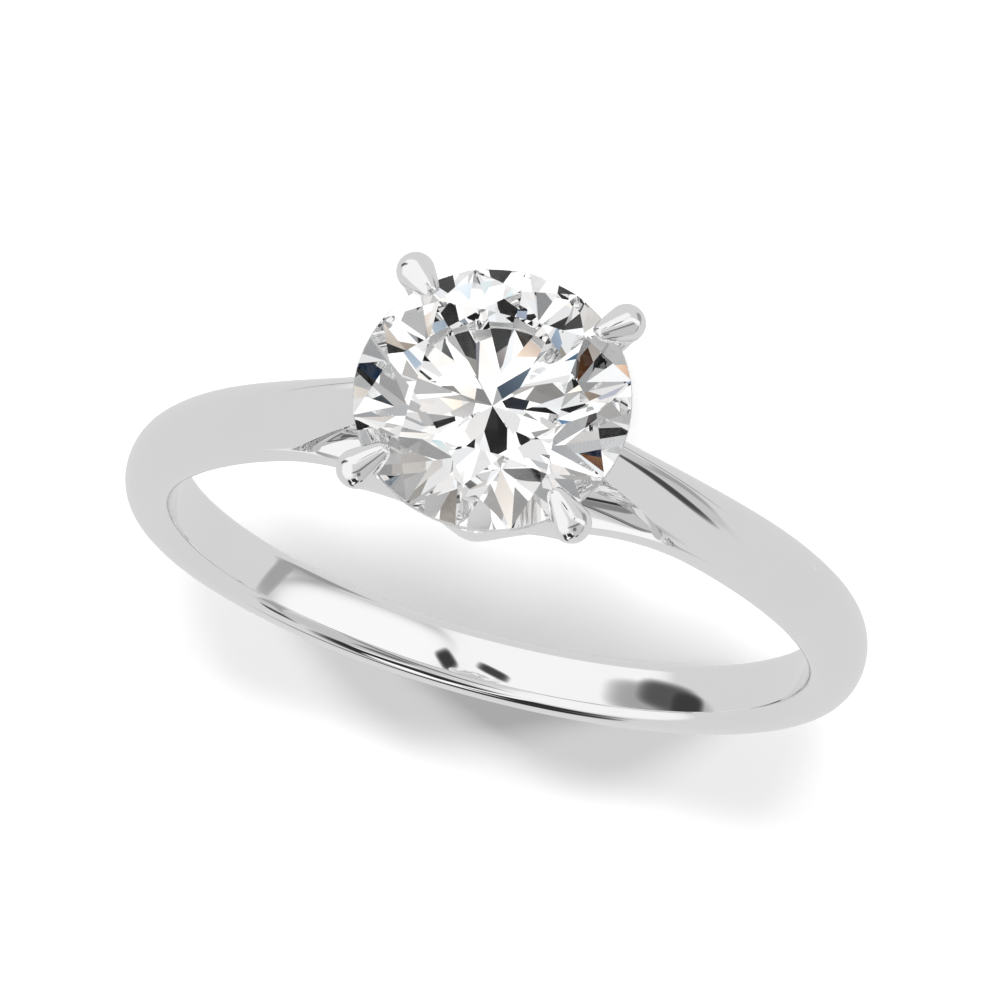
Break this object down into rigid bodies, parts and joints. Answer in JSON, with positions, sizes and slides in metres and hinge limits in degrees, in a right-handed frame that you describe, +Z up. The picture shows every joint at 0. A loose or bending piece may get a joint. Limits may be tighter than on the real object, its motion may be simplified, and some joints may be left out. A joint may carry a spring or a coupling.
{
  "type": "solitaire engagement ring",
  "caption": "Slim finger ring lying on its side: a rounded band whose shoulders rise to an openwork claw head that holds a round brilliant-cut stone.",
  "frame": {"origin": "on the floor, under the middle of the ring's box as the ring lies on its side", "axes": "+Z is up from the floor; +Y runs from the stone's table to the foot of the band; X runs across the finger hole; the finger hole's axis leans 5.7 degrees from +Z towards +Y"},
  "size_m": [0.0206, 0.025, 0.0064],
  "materials": {
    "white_gold": "mirror-polished white gold",
    "diamond": "clear faceted stone with polished facets"
  },
  "bodies": {
    "root": {"band": "white_gold", "brilliant": "diamond"}
  },
  "joints": []
}
